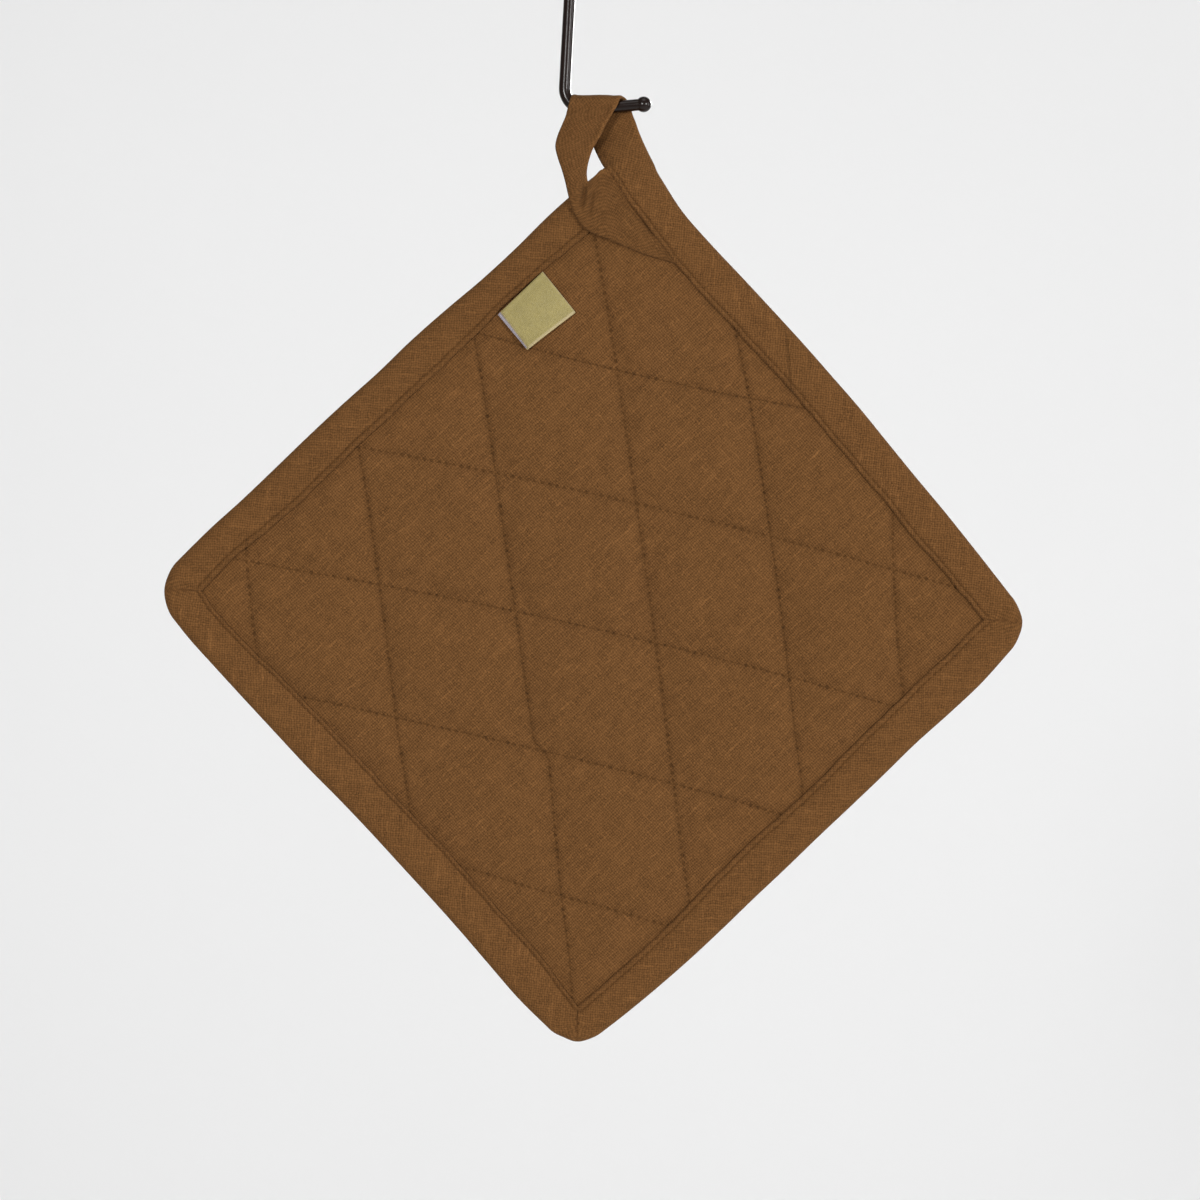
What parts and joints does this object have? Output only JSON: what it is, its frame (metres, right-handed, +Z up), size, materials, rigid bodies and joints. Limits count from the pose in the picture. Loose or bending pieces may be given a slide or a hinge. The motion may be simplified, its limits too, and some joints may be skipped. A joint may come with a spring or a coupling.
{
  "type": "pot holder on wire hook",
  "caption": "Quilted square pot holder with a bound edge, hanging by its corner loop on a plain bent wire hook with a ball tip.",
  "frame": {"origin": "middle of the flat cut at the top of the hook's stem", "axes": "+Z up, +X to the right of someone facing the cloth's front, -Y out of its front"},
  "size_m": [0.2953, 0.013, 0.37],
  "materials": {
    "cloth": "matte slub linen, warm brown",
    "label": "olive gold satin ribbon, bare",
    "wire": "semi-gloss black"
  },
  "bodies": {
    "root": {"quilted_pad": "cloth", "binding": "cloth", "hanging_loop": "cloth", "label_tab": "label", "hook_wire": "wire"}
  },
  "joints": []
}
